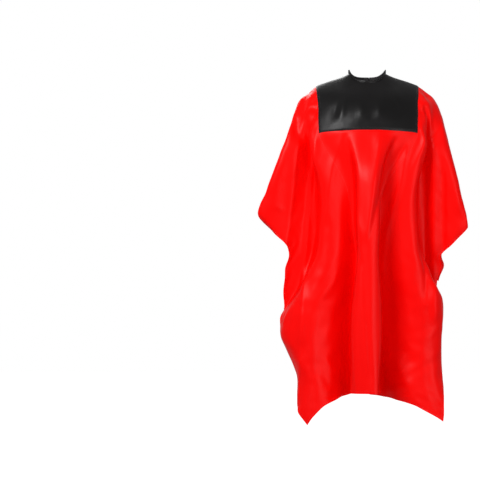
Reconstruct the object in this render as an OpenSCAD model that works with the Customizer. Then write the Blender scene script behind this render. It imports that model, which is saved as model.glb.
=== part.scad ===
// Barber cape: black satin yoke and low stand collar, red side, front and back panels,
// hook-and-loop fastening on an overlap tab at the nape.
// The origin is on the neck's axis at the height of the throat seam. The wearer faces -Y.

/* [Collar] */
// Inside radius of the closed collar
neck_r = 61; // [55:1:68]
// Height of the collar at the throat
throat_h = 12; // [9:1:18]
// Height of the collar at the sides of the neck
side_h = 17; // [14:1:24]
// Height of the collar at the nape
nape_h = 30; // [26:1:38]
// Rise of the collar's top edge from the throat to the sides
side_rise = 38; // [30:1:46]
// Rise of the collar's top edge from the throat to the nape
nape_rise = 15; // [8:1:24]
// Thickness of the facing against the neck
facing_wall = 1.4; // [1.3:0.1:2]
// Thickness of the stiffener
stiffener_wall = 0.8; // [0.4:0.1:1.2]
// Thickness of the collar's outer layer
outer_wall = 1; // [0.6:0.1:1.6]

/* [Nape fastening] */
// Length of the overlap tab beyond its root
tab_len = 62; // [50:1:75]
// Length of the tab's sewn root
root_len = 24; // [16:1:32]
// Distance of the tab's root from the centre back
root_x = 12; // [8:1:18]
// Thickness of each layer of the tab
tab_wall = 0.9; // [0.6:0.1:1.4]
// Length of the hook and loop tapes
tape_len = 44; // [34:1:48]
// Height of the hook and loop tapes
tape_h = 20; // [14:1:22]
// Thickness of each tape
tape_wall = 1.2; // [0.8:0.1:1.6]
// Margin that the tab leaves above and below the collar band
tab_margin = 2; // [1:0.5:4]
// Radial gap between the hook tape and the loop tape
tape_gap = 0.4; // [0.3:0.1:0.8]

/* [Yoke] */
// Width of the yoke between its side seams
yoke_w = 352; // [310:1:380]
// Depth of the yoke's lower seam below the throat seam
yoke_drop = 165; // [140:1:200]
// Thickness of the yoke's face and of its lining
yoke_wall = 1.2; // [0.8:0.1:2]

/* [Panels] */
// Depth of the front hem below the throat seam
front_len = 1050; // [880:10:1260]
// Extra depth of the front corners below the front hem
corner_drop = 110; // [80:5:135]
// Depth of the back hem below the throat seam
back_len = 470; // [400:10:565]
// Width across the front folds at the hem
hem_w = 500; // [440:10:560]
// Thickness of a panel
cloth = 3; // [2:0.5:5]
// Gap left along each sewn edge
seam_gap = 1.5; // [1:0.5:3]

/* [Wearer] */
// Width over the shoulders
shoulder_w = 472; // [430:1:520]
// Width over both wing tips
wing_w = 744; // [680:2:840]
// Depth of the wing tips below the throat seam
wing_drop = 470; // [400:5:540]
// Distance of the chest from the neck's axis
chest = 150; // [135:1:175]
// Distance of the shoulder blades from the neck's axis
blades = 122; // [110:1:140]

/* [Hidden] */

black = "#242224";
red = "#e0120c";

// Radii of the collar's layers, from the neck outwards
facing_r = neck_r + facing_wall;
stiffener_r = facing_r + stiffener_wall;
band_r = stiffener_r + outer_wall;
loop_r = band_r + tape_wall;
hook_in_r = loop_r + tape_gap;
hook_r = hook_in_r + tape_wall;
tab_in_r = hook_r + tab_wall;
tab_r = tab_in_r + tab_wall;

// Heights of the collar's edges at the throat, the sides and the nape
throat_top = 3.4;
side_top = throat_top + side_rise;
nape_top = throat_top + nape_rise;
// The slit where the collar's two ends meet
slit = 2;
// Small clearance at the root of the tab
root_gap = 0.6;
arc_fn = 180;
// Steps of an edge curve, and of a panel between two of its guide points
edge_steps = 24;
patch_steps = 3;

// ---------- collar ----------
// Share of the way from the centre line to the side of the neck
function out(x) = min(1, abs(x) / neck_r);
function top_z(x, low) = low + (side_top - low) * pow(out(x), 4);
function band_h(x, h) = h + (side_h - h) * pow(out(x), 2);

// One half of the band's height profile, seen from the front and run front to back
module half_profile(low, h, margin) {
  reach = tab_r + 2;
  xs = [for (i = [0:edge_steps]) -reach + 2 * reach * i / edge_steps];
  rotate([90, 0, 0])
    linear_extrude(reach)
      polygon(concat(
        [for (x = xs) [x, top_z(x, low) - margin]],
        [for (i = [edge_steps:-1:0]) [xs[i], top_z(xs[i], low) - band_h(xs[i], h) + margin]]
      ));
}

module band_space(margin = 0) {
  half_profile(throat_top, throat_h, margin);
  translate([0, tab_r + 2, 0]) half_profile(nape_top, nape_h, margin);
}

module ring(r_in, r_out) {
  difference() {
    cylinder(r = r_out, h = 4 * side_rise, center = true, $fn = arc_fn);
    cylinder(r = r_in, h = 5 * side_rise, center = true, $fn = arc_fn);
  }
}

// A layer of the closed band, open at the slit where its two ends meet
module band_layer(r_in, r_out) {
  difference() {
    intersection() {
      ring(r_in, r_out);
      band_space();
    }
    translate([root_x - 2 * slit, 0, -2 * side_rise]) cube([slit, 2 * neck_r, 4 * side_rise]);
  }
}

// Part of a ring between two angles, counted from the centre back towards the wearer's left
module arc(r_in, r_out, from, to, z_low, z_high) {
  translate([0, 0, z_low])
    rotate([0, 0, 90 - to])
      rotate_extrude(angle = to - from, $fn = arc_fn)
        translate([r_in, 0]) square([r_out - r_in, z_high - z_low]);
}

root_angle = asin(root_x / tab_r);
tab_end = root_angle - tab_len / tab_r * 180 / PI;
tape_angle = tape_len / loop_r * 180 / PI;
tape_mid = tab_end / 2 - 1;
tape_z = nape_top - nape_h / 2 + 2;

module collar_inner() color(black) band_layer(neck_r, facing_r);

module collar_interlining() color("white") band_layer(facing_r, stiffener_r);

module collar_outer() color(black) band_layer(stiffener_r, band_r);

module tab_layer(r_in, r_out, from, to) {
  intersection() {
    arc(r_in, r_out, from, to, -2 * side_rise, 2 * side_rise);
    band_space(tab_margin);
  }
}

module tab_root() color(black)
  tab_layer(band_r, tab_r, root_angle + root_gap, root_angle + root_len / tab_r * 180 / PI);

module tab_outer() color(black) tab_layer(tab_in_r, tab_r, tab_end, root_angle);

module tab_inner() color(black) tab_layer(hook_r, tab_in_r, tab_end, root_angle);

module tape(r_in, r_out)
  arc(r_in, r_out, tape_mid - tape_angle / 2, tape_mid + tape_angle / 2,
    tape_z - tape_h / 2, tape_z + tape_h / 2);

module hook_tape() color("#1b1b1d") tape(hook_in_r, hook_r);

module loop_tape() color("#2b2a2d") tape(band_r, loop_r);

// ---------- cloth ----------
// A smooth curve through guide points: four neighbours and a share of the way between the middle two
function pass(a, b, c, d, t) =
  0.5 * (2 * b + (c - a) * t + (2 * a - 5 * b + 4 * c - d) * t * t
    + (3 * b - a - 3 * c + d) * t * t * t);
function on_curve(g, k, t) =
  pass(g[k == 0 ? 0 : k - 1], g[k], g[k + 1], g[min(k + 2, len(g) - 1)], t);
function smooth(g) = concat(
  [for (k = [0:len(g) - 2]) for (i = [0:patch_steps - 1]) on_curve(g, k, i / patch_steps)],
  [g[len(g) - 1]]
);
function across(m) = [for (j = [0:len(m[0]) - 1]) [for (row = m) row[j]]];
// The surface through a net of guide points
function skin(net) = across([for (col = across([for (row = net) smooth(row)])) smooth(col)]);

function unit(v) = v / norm(v);
function facing(g, i, j) =
  let (a = g[i][min(j + 1, len(g[0]) - 1)] - g[i][max(j - 1, 0)],
    b = g[min(i + 1, len(g) - 1)][j] - g[max(i - 1, 0)][j])
  unit(cross(a, b));

// A closed sheet that follows the net, from one depth under its surface to another
module sheet(net, from, to) {
  g = skin(net);
  rows = len(g);
  cols = len(g[0]);
  n = rows * cols;
  upper = [for (i = [0:rows - 1]) for (j = [0:cols - 1]) g[i][j] + facing(g, i, j) * from];
  lower = [for (i = [0:rows - 1]) for (j = [0:cols - 1]) g[i][j] + facing(g, i, j) * to];
  quads = [for (i = [0:rows - 2]) for (j = [0:cols - 2])
    [i * cols + j, i * cols + j + 1, (i + 1) * cols + j + 1, (i + 1) * cols + j]];
  rim = concat(
    [for (j = [0:cols - 1]) j],
    [for (i = [1:rows - 1]) i * cols + cols - 1],
    [for (j = [cols - 2:-1:0]) (rows - 1) * cols + j],
    [for (i = [rows - 2:-1:1]) i * cols]
  );
  faces = concat(
    [for (q = quads) [q[0], q[1], q[2]]], [for (q = quads) [q[0], q[2], q[3]]],
    [for (q = quads) [q[2] + n, q[1] + n, q[0] + n]],
    [for (q = quads) [q[3] + n, q[2] + n, q[0] + n]],
    [for (k = [0:len(rim) - 1]) let (a = rim[k], b = rim[(k + 1) % len(rim)]) [b, a, a + n]],
    [for (k = [0:len(rim) - 1]) let (a = rim[k], b = rim[(k + 1) % len(rim)]) [b, a + n, b + n]]
  );
  polyhedron(points = concat(upper, lower), faces = faces, convexity = 8);
}

function flip(p) = [-p[0], p[1], p[2]];
// A net for one side, and the same net carried on to the other side
function both(net) = [for (row = net)
  concat([for (k = [len(row) - 1:-1:1]) flip(row[k])], row)];

yoke_x = yoke_w / 2;
shoulder_x = shoulder_w / 2;
tip_x = wing_w / 2;
fold_x = hem_w / 2;
hem_z = -front_len;
corner_z = -front_len - corner_drop;
// Cloth starts this far outside the collar band
base_r = band_r + 1.8;
// Heights of the collar's lower edge, where the cloth is sewn on
throat_z = throat_top - throat_h + 1;
side_z = side_top - side_h + 1;
nape_z = nape_top - nape_h - 2.5;
// How far behind the shoulder line the yoke's back seam lies
back_seam = 26;

// The two long front seams, from the yoke's corner down to the hem
function seam(dx) = [
  [yoke_x + dx, -chest * 0.79, -yoke_drop - 3],
  [yoke_x + 0.26 * (fold_x - yoke_x) + dx, -chest * 0.98, -0.38 * front_len],
  [yoke_x + 0.45 * (fold_x - yoke_x) + dx, -chest * 1.15, -0.67 * front_len],
  [yoke_x + 0.72 * (fold_x - yoke_x) + dx, -chest * 1.27, hem_z - 0.45 * corner_drop]
];

yoke_net = [
  [
    [0, -base_r, throat_z], [0.69 * base_r, -0.73 * base_r, throat_z + 3],
    [1.01 * base_r, 0.02 * base_r, side_z - 2], [0.94 * base_r, back_seam, side_z - 10],
    [0.68 * yoke_x, back_seam, 0], [yoke_x, back_seam, -20]
  ],
  [
    [0, -base_r - 12, throat_z - 12], [0.72 * base_r, -0.92 * base_r, throat_z - 8],
    [1.2 * base_r, -0.3 * base_r, 9], [1.34 * base_r, 2, 14], [0.7 * yoke_x, -4, 5],
    [yoke_x, -4, -14]
  ],
  [
    [0, -0.75 * chest, -0.35 * yoke_drop], [0.3 * yoke_x, -0.72 * chest, -0.35 * yoke_drop],
    [0.48 * yoke_x, -0.65 * chest, -0.31 * yoke_drop],
    [0.62 * yoke_x, -0.56 * chest, -0.28 * yoke_drop],
    [0.8 * yoke_x, -0.46 * chest, -0.26 * yoke_drop], [yoke_x, -0.36 * chest, -0.28 * yoke_drop]
  ],
  [
    [0, -0.94 * chest, -0.66 * yoke_drop], [0.3 * yoke_x, -0.92 * chest, -0.66 * yoke_drop],
    [0.5 * yoke_x, -0.87 * chest, -0.65 * yoke_drop],
    [0.66 * yoke_x, -0.8 * chest, -0.64 * yoke_drop],
    [0.82 * yoke_x, -0.72 * chest, -0.62 * yoke_drop], [yoke_x, -0.61 * chest, -0.62 * yoke_drop]
  ],
  [
    [0, -chest, -yoke_drop + 8], [0.3 * yoke_x, -0.99 * chest, -yoke_drop + 7],
    [0.5 * yoke_x, -0.96 * chest, -yoke_drop + 6], [0.67 * yoke_x, -0.92 * chest, -yoke_drop + 4],
    [0.83 * yoke_x, -0.86 * chest, -yoke_drop + 2], [yoke_x, -0.78 * chest, -yoke_drop]
  ]
];

module yoke_outer() color(black) sheet(both(yoke_net), 0, yoke_wall);

module yoke_lining() color("#2c2b2d") sheet(both(yoke_net), yoke_wall + 0.2, 2 * yoke_wall + 0.2);

front_net = [for (k = [0:3])
  let (s = seam(-seam_gap)[k], rise = [8, 0, 0, 0.36 * corner_drop][k], deep = [1.27, 1.26, 1.3, 1.33][k])
  [
    [0, s[1] * deep, s[2] + rise + (k == 0 ? -2 : 0)],
    [0.35 * s[0], s[1] * (0.25 + 0.75 * deep), s[2] + 0.9 * rise - (k == 0 ? 1 : 0)],
    [0.7 * s[0], s[1] * (0.5 + 0.5 * deep), s[2] + 0.55 * rise - (k == 0 ? 1 : 0)],
    s
  ]
];

module front_panel() color(red) sheet(both(front_net), 0, cloth);

// Guide rows of a side panel run from the front hem over the shoulder to the back hem, and its
// columns from the front seam to the free edge that ends at the wing tip
arm_x = shoulder_x + 0.2 * (tip_x - shoulder_x);
mid_x = shoulder_x + 0.7 * (tip_x - shoulder_x);
arm_z = -0.24 * wing_drop;
mid_z = -0.64 * wing_drop;
edge_y = 0.17 * blades;

side_net = let (s = seam(seam_gap), b = back_len) [
  [s[3], [fold_x, -0.73 * chest, hem_z - 0.65 * corner_drop],
    [0.94 * fold_x, -0.2 * chest, hem_z - 0.87 * corner_drop], [0.71 * fold_x, 0, corner_z]],
  [s[2] + [4, 0, -110], [1.06 * fold_x, -0.67 * chest, -0.79 * front_len],
    [1.12 * fold_x, -0.07 * chest, -0.78 * front_len], [1.03 * fold_x, 0.3 * blades, -0.76 * front_len]],
  [s[1] + [5, -8, -150], [1.06 * fold_x, -0.63 * chest, -0.54 * front_len],
    [1.15 * fold_x, -0.3 * chest, -0.56 * front_len], [1.18 * fold_x, 0, -0.6 * front_len]],
  [s[0] + [9, -14, -130], [arm_x + 1, -0.59 * chest, -0.3 * front_len],
    [mid_x - 18, -0.43 * chest, mid_z - 130], [tip_x - 34, -0.3 * chest, -wing_drop - 50]],
  [[yoke_x + seam_gap, -0.78 * chest, -yoke_drop], [arm_x, -0.48 * chest, arm_z - 88],
    [mid_x - 8, -0.36 * chest, mid_z - 58], [tip_x - 15, -0.2 * chest, -wing_drop - 22]],
  [[yoke_x + seam_gap, -0.36 * chest, -0.28 * yoke_drop], [arm_x, -0.3 * chest, arm_z - 22],
    [mid_x - 2, -0.24 * chest, mid_z - 18], [tip_x - 3, -0.1 * chest, -wing_drop - 5]],
  [[yoke_x + seam_gap, -4, -14], [arm_x, 4, arm_z], [mid_x, 2, mid_z], [tip_x, 0, -wing_drop]],
  [[yoke_x + seam_gap, 0.32 * blades, -26], [arm_x, 0.42 * blades, arm_z - 18],
    [mid_x, 0.34 * blades, mid_z - 18], [tip_x - 4, edge_y, -wing_drop - 10]],
  [[yoke_x + 2 + seam_gap, blades, -0.45 * b], [arm_x, 0.9 * blades, -0.56 * b],
    [mid_x - 12, 0.78 * blades, mid_z - 0.26 * b], [tip_x - 20, 0.65 * blades, -wing_drop - 0.15 * b]],
  [[yoke_x + 6 + seam_gap, 1.64 * blades, -b - 50], [arm_x, 1.56 * blades, -b - 90],
    [mid_x - 30, 1.35 * blades, -b - 165], [tip_x - 60, 1.15 * blades, -b - 215]]
];

module side_panel() color(red) sheet(side_net, 0, cloth);

module side_panel_left() side_panel();

module side_panel_right() mirror([1, 0, 0]) side_panel();

// Half of the centre back opening
back_gap = 2;
back_net = let (x = yoke_x - seam_gap, b = back_len) [
  [[x, back_seam + 4, -23], [0.68 * x, back_seam + 4, -3], [0.98 * base_r, back_seam + 5, side_z - 12],
    [0.6 * base_r, 0.84 * base_r, nape_z + 6], [back_gap, base_r + 1, nape_z]],
  [[x, 0.55 * blades, -0.14 * b], [0.7 * x, 0.62 * blades, -0.11 * b],
    [1.2 * base_r, 0.68 * blades, -0.1 * b], [0.7 * base_r, 0.76 * blades, -0.11 * b],
    [back_gap, 0.78 * blades, -0.12 * b]],
  [[x + 2, 0.99 * blades, -0.45 * b], [0.72 * x, 1.03 * blades, -0.4 * b],
    [1.3 * base_r, 1.04 * blades, -0.39 * b], [0.7 * base_r, 1.02 * blades, -0.39 * b],
    [back_gap, 0.99 * blades, -0.4 * b]],
  [[x + 4, 1.62 * blades, -b - 48], [0.73 * x, 1.55 * blades, -b - 25],
    [1.4 * base_r, 1.5 * blades, -b - 10], [0.7 * base_r, 1.47 * blades, -b - 3],
    [back_gap, 1.45 * blades, -b]]
];

// The rows run from the side seam to the centre back, so the cloth's thickness goes inwards
module back_panel() color(red) sheet(back_net, 0, cloth);

module back_panel_left() back_panel();

module back_panel_right() mirror([1, 0, 0]) back_panel();

label_w = 36;
label_h = 24;
module care_label() color("#f2f0ea")
  translate([-label_w - 8, neck_r + 1, nape_z - 6 - label_h]) cube([label_w, 0.5, label_h]);

collar_inner();
collar_interlining();
collar_outer();
tab_root();
tab_outer();
tab_inner();
hook_tape();
loop_tape();
yoke_outer();
yoke_lining();
front_panel();
side_panel_left();
side_panel_right();
back_panel_left();
back_panel_right();
care_label();
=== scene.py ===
import math
import bpy
import numpy as np
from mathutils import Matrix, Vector
from mathutils.kdtree import KDTree


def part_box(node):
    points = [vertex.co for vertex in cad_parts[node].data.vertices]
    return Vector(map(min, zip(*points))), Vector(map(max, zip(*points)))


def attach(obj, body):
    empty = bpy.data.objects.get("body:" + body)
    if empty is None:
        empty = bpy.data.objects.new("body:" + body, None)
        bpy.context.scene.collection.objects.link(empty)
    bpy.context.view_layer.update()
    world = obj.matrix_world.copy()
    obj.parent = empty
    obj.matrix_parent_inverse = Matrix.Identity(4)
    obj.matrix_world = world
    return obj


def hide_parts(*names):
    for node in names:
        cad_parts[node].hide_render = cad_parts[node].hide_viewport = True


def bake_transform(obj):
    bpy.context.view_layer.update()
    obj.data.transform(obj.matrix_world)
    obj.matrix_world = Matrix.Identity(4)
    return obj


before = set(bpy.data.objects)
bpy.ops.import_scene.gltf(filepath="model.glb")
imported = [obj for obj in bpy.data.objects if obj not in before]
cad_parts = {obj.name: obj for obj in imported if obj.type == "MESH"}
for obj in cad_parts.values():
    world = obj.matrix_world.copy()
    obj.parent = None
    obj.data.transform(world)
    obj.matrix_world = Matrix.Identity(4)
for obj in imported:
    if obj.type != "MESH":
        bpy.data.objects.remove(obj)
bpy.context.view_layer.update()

# ---------- studio ----------
# A level camera at chest height, a pale floor well below the hem, and soft light from large
# panels: a key from the front left, a weaker fill from the right and one from behind.
studio = bpy.context.scene
studio.view_settings.view_transform = "Standard"
eye_x, eye_z = -0.432, -0.537
eye_away, seen_width = 12.0, 1.632

camera_data = bpy.data.cameras.new("camera")
camera_data.sensor_width = 36
camera_data.lens = 36 * eye_away / seen_width
camera = bpy.data.objects.new("camera", camera_data)
camera.location = (eye_x, -eye_away, eye_z)
camera.rotation_euler = (math.pi / 2, 0, 0)
studio.collection.objects.link(camera)
studio.camera = camera


def colour(hex_code):
    """An sRGB hex colour as the linear one that a shader takes."""
    parts = [int(hex_code[i:i + 2], 16) / 255 for i in (1, 3, 5)]
    return [((c + 0.055) / 1.055) ** 2.4 if c > 0.04 else c / 12.92 for c in parts] + [1]


def new_material(name, values):
    """A material and its shader, with these values on the shader's own sockets."""
    made = bpy.data.materials.new(name)
    made.use_nodes = True
    shader = made.node_tree.nodes["Principled BSDF"]
    for socket, value in values.items():
        shader.inputs[socket].default_value = value
    return made, shader


def texture(made, kind, values):
    """A texture node on the piece's own coordinates."""
    nodes, links = made.node_tree.nodes, made.node_tree.links
    place, node = nodes.new("ShaderNodeTexCoord"), nodes.new(kind)
    for socket, value in values.items():
        node.inputs[socket].default_value = value
    links.new(place.outputs["Object"], node.inputs["Vector"])
    return node


def tinted(made, shader, factor, *stops):
    """Colours the shader by a factor; each stop is a position and a colour."""
    node = made.node_tree.nodes.new("ShaderNodeValToRGB")
    for element, (position, tint) in zip(node.color_ramp.elements, stops):
        element.position, element.color = position, tint
    made.node_tree.links.new(factor, node.inputs["Fac"])
    made.node_tree.links.new(node.outputs["Color"], shader.inputs["Base Color"])


def raised(made, height, strength, distance, under=None):
    """The normal of a bump of this height, on top of another one where it is given."""
    node = made.node_tree.nodes.new("ShaderNodeBump")
    node.inputs["Strength"].default_value = strength
    node.inputs["Distance"].default_value = distance
    made.node_tree.links.new(height, node.inputs["Height"])
    if under:
        made.node_tree.links.new(under, node.inputs["Normal"])
    return node.outputs["Normal"]


def put(name, mesh, *materials):
    """Links a mesh as an object at the origin."""
    piece = bpy.data.objects.new(name, mesh)
    studio.collection.objects.link(piece)
    for material in materials:
        mesh.materials.append(material)
    return piece


def mesh_of(name, points, faces, smooth=True):
    """A mesh of these points and faces."""
    mesh = bpy.data.meshes.new(name)
    mesh.from_pydata([tuple(map(float, p)) for p in points], [],
                     [tuple(map(int, f)) for f in faces])
    mesh.update()
    if smooth:
        mesh.shade_smooth()
    return mesh


def edge_uses(faces):
    """How many of the faces use each edge."""
    uses = {}
    for face in faces:
        for a, b in zip(face, face[1:] + face[:1]):
            uses[min(a, b), max(a, b)] = uses.get((min(a, b), max(a, b)), 0) + 1
    return uses


def cut_tree(places, numbers):
    """A search tree of places on the flat cut, which finds them by their numbers."""
    tree = KDTree(len(places))
    for (u, v), k in zip(places, numbers):
        tree.insert((u, v, 0), int(k))
    tree.balance()
    return tree


def backdrop_paint(name, tone, glow):
    """A matt white paint, lit from behind so that it stays even."""
    return new_material(name, {"Base Color": (tone, tone, tone, 1), "Roughness": 0.9,
                               "Specular IOR Level": 0, "Emission Color": (1, 1, 1, 1),
                               "Emission Strength": glow})[0]


floor_size, floor_z = 14, -1.5
floor = put("floor", mesh_of("floor", [
    (x * floor_size, y * floor_size, floor_z) for x, y in ((-1, -1), (1, -1), (1, 1), (-1, 1))
], [(0, 1, 2, 3)]), backdrop_paint("floor_paint", 0.9, 0.75))
room_points, room_faces = [], []
room_turns, room_levels = 24, 12
for i in range(room_levels + 1):
    tilt = math.pi * (i / room_levels - 0.5)
    for j in range(room_turns):
        turn = 2 * math.pi * j / room_turns
        room_points.append((floor_size * math.cos(tilt) * math.cos(turn),
                            floor_size * math.cos(tilt) * math.sin(turn),
                            floor_size * math.sin(tilt)))
for i in range(room_levels):
    room_faces += [(i * room_turns + j, (i + 1) * room_turns + j,
                    (i + 1) * room_turns + (j + 1) % room_turns,
                    i * room_turns + (j + 1) % room_turns)
                   for j in range(room_turns)]
room = put("room", mesh_of("room", room_points, room_faces), backdrop_paint("room_paint", 0.0, 1.0))
for surround in (floor, room):
    surround.visible_diffuse = surround.visible_glossy = False
    surround.visible_shadow = False

world = bpy.data.worlds.new("world")
studio.world = world
world.use_nodes = True
world.node_tree.nodes["Background"].inputs["Color"].default_value = (1, 1, 1, 1)
world.node_tree.nodes["Background"].inputs["Strength"].default_value = 0.4

for name, place, watts, size in (
    ("key", (-1.7, -2.6, 1.3), 80, 1.2),
    ("fill", (1.6, -3.0, -0.3), 24, 1.6),
    ("rear", (-0.6, 2.8, 1.4), 45, 1.8),
):
    panel = bpy.data.lights.new(name, "AREA")
    panel.energy = watts
    panel.size = size
    lamp = bpy.data.objects.new(name, panel)
    lamp.location = place
    lamp.rotation_euler = (Vector((0, 0, -0.5)) - Vector(place)).to_track_quat("-Z", "Y").to_euler()
    studio.collection.objects.link(lamp)

# ---------- the cape's cloth ----------
# One cape of six cloth panels, cut flat and sewn edge to edge: a stiff double satin yoke, a front,
# two sides and two halves of the back. It is draped by simulation over a wearer's form, which is
# removed again, sewn to the collar's foot at its neck hole.
half_wide, front_long, back_long = 0.68, 1.15, 0.55
yoke_half, yoke_low, yoke_back = 0.176, 0.25, -0.03
front_flare = 0.07
neck_wide, neck_deep = 0.066, 0.068
held_r = 0.066
neck_r = 0.061
throat_top, side_rise, nape_rise = 0.0034, 0.038, 0.015
throat_h, side_h, nape_h = 0.012, 0.017, 0.030
throat_cut = 0.07
weave_step = 0.023
PANELS = ("yoke", "front", "side_left", "side_right", "back_left", "back_right")


def loft(rings):
    """A closed tube through rings of points that have the same number of points."""
    n = len(rings[0])
    points = [p for ring in rings for p in ring]
    faces = [(i * n + j, i * n + (j + 1) % n, (i + 1) * n + (j + 1) % n, (i + 1) * n + j)
             for i in range(len(rings) - 1) for j in range(n)]
    last = (len(rings) - 1) * n
    return points, faces + [tuple(range(n))[::-1], tuple(last + j for j in range(n))]


def wearer_form():
    """Torso, hips and two arms held a little out from the sides, as one smooth closed form."""
    turn = [2 * math.pi * k / 28 for k in range(28)]
    torso = [
        (-1.35, 0.19, 0.13, 0), (-0.8, 0.185, 0.13, 0), (-0.62, 0.17, 0.12, 0),
        (-0.45, 0.16, 0.12, 0), (-0.3, 0.165, 0.135, -0.005), (-0.18, 0.175, 0.135, -0.005),
        (-0.11, 0.175, 0.115, 0), (-0.06, 0.15, 0.095, 0.005), (-0.025, 0.1, 0.078, 0.008),
        (0.0, 0.065, 0.064, 0.01), (0.04, 0.055, 0.055, 0),
    ]
    shapes = [loft([[(wide * math.cos(t), back + deep * math.sin(t), z) for t in turn]
                    for z, wide, deep, back in torso])]
    arm_lean = math.radians(20)
    for side in (-1, 1):
        along = Vector((side * math.sin(arm_lean), -0.06, -math.cos(arm_lean))).normalized()
        across = along.cross(Vector((0, 1, 0))).normalized()
        behind = across.cross(along)
        start = Vector((side * 0.182, 0, -0.088))
        rings = []
        for far, r in ((-0.03, 0.02), (-0.015, 0.045), (0, 0.056), (0.05, 0.058), (0.15, 0.052),
                       (0.3, 0.045), (0.4, 0.04), (0.5, 0.034), (0.62, 0.028), (0.63, 0.012)):
            centre = start + along * far
            rings.append([tuple(centre + across * r * math.cos(t) + behind * r * math.sin(t))
                          for t in turn])
        shapes.append(loft(rings))
    points, faces = [], []
    for more_points, more_faces in shapes:
        faces += [tuple(k + len(points) for k in f) for f in more_faces]
        points += more_points
    form = put("wearer_form", mesh_of("wearer_form", points, faces))
    bpy.context.view_layer.objects.active = form
    form.select_set(True)
    bpy.ops.object.mode_set(mode="EDIT")
    bpy.ops.mesh.select_all(action="SELECT")
    bpy.ops.mesh.normals_make_consistent(inside=False)
    bpy.ops.object.mode_set(mode="OBJECT")
    skin = form.modifiers.new("skin", "REMESH")
    skin.mode, skin.voxel_size = "VOXEL", 0.014
    ease = form.modifiers.new("ease", "SMOOTH")
    ease.iterations, ease.factor = 6, 0.5
    bpy.ops.object.convert(target="MESH")
    form.modifiers.new("stop", "COLLISION")
    form.collision.thickness_outer = 0.004
    form.collision.cloth_friction = 1
    form.collision.damping = 0.3
    return form


# The yoke's form on the chest and shoulders: guide points of one half, each with its place on the
# flat cut, in millimetres, row by row from the neck and the back seam down to the lower seam.
YOKE_GUIDE = (
    (((0, 70), (0, -66, -7.6)), ((45.5, 50), (45.5, -48.2, -4.6)), ((66, 0), (66.7, 1.3, 23.4)),
     ((59, -30), (62, 26, 15.4)), ((118, -30), (119.7, 26, 0)), ((176, -30), (176, 26, -20))),
    (((0, 85), (0, -78, -19.6)), ((47.5, 68), (47.5, -60.7, -15.6)), ((79, 20), (79.2, -19.8, 9)),
     ((88, 0), (88.4, 2, 14)), ((123, 0), (123.2, -4, 5)), ((176, 0), (176, -4, -14))),
    (((0, 136), (0, -112.5, -57.8)), ((53, 131), (52.8, -108, -57.8)),
     ((85, 118), (84.5, -97.5, -51.2)), ((110, 105), (109.1, -84, -46.2)),
     ((142, 98), (140.8, -69, -42.9)), ((176, 92), (176, -54, -46.2))),
    (((0, 195), (0, -141, -108.9)), ((53, 190), (52.8, -138, -108.9)),
     ((88, 183), (88, -130.5, -107.3)), ((117, 178), (116.2, -120, -105.6)),
     ((146, 174), (144.3, -108, -102.3)), ((176, 170), (176, -91.5, -102.3))),
    (((0, 250), (0, -150, -157)), ((53, 250), (52.8, -148.5, -158)), ((88, 250), (88, -144, -159)),
     ((118, 250), (117.9, -138, -161)), ((147, 250), (146.1, -129, -163)),
     ((176, 250), (176, -117, -165))),
)


def eased(rows, steps):
    """Rows of guide values, with a smooth curve of steps between each two of them."""
    rows = np.asarray(rows)
    found = []
    for k in range(len(rows) - 1):
        a, b, c, d = rows[max(k - 1, 0)], rows[k], rows[k + 1], rows[min(k + 2, len(rows) - 1)]
        for t in np.arange(steps) / steps:
            found.append(0.5 * (2 * b + (c - a) * t + (2 * a - 5 * b + 4 * c - d) * t * t
                                + (3 * b - a - 3 * c + d) * t ** 3))
    return np.array(found + [rows[-1]])


guide = np.array([[flat + place for flat, place in row] for row in YOKE_GUIDE]) / 1000
guide[:, :, 2] *= 1 - 0.17 * guide[:, :, 1].clip(0)
guide[:, :, 4] -= 0.16 * guide[:, :, 1].clip(0) ** 2
mirrored = guide[:, :0:-1] * np.array([-1, 1, -1, 1, 1])
guide = np.concatenate([mirrored, guide], axis=1)
guide = eased(eased(guide, 8).swapaxes(0, 1), 8).swapaxes(0, 1).reshape(-1, 5)
guide_tree = cut_tree(guide[:, :2], range(len(guide)))


def on_yoke(u, v):
    """Where a point of the flat yoke lies on the wearer."""
    near = guide_tree.find_n((u, v, 0), 6)
    share = np.array([1 / (d + 0.0005) ** 2 for _, _, d in near])
    return share @ guide[[k for _, k, _ in near], 2:] / share.sum()


def collar_edges(x, behind, margin=0.0):
    """Heights of the collar's lower and upper edges, this far across in front or behind."""
    out = min(1, abs(x) / neck_r)
    low_top, end_h = (throat_top + nape_rise, nape_h) if behind else (throat_top, throat_h)
    top = low_top + (throat_top + side_rise - low_top) * out ** 4
    return top - (end_h + (side_h - end_h) * out ** 2) + margin, top - margin


def held_height(x, y):
    """Height that the neck hole is held at while the cloth falls, close to the collar's foot."""
    out = min(1, abs(x) / neck_r)
    if y < 0:
        return 0.0034 + 0.047 * out ** 4 - 0.012 - 0.014 * out ** 2
    return 0.0184 + 0.032 * out ** 4 - 0.030 + 0.004 * out ** 2


def spaced(a, b):
    """Even steps from a up to b, which the next stretch starts with."""
    n = max(1, round(abs(b - a) / weave_step))
    return [a + (b - a) * k / n for k in range(n)]


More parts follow.
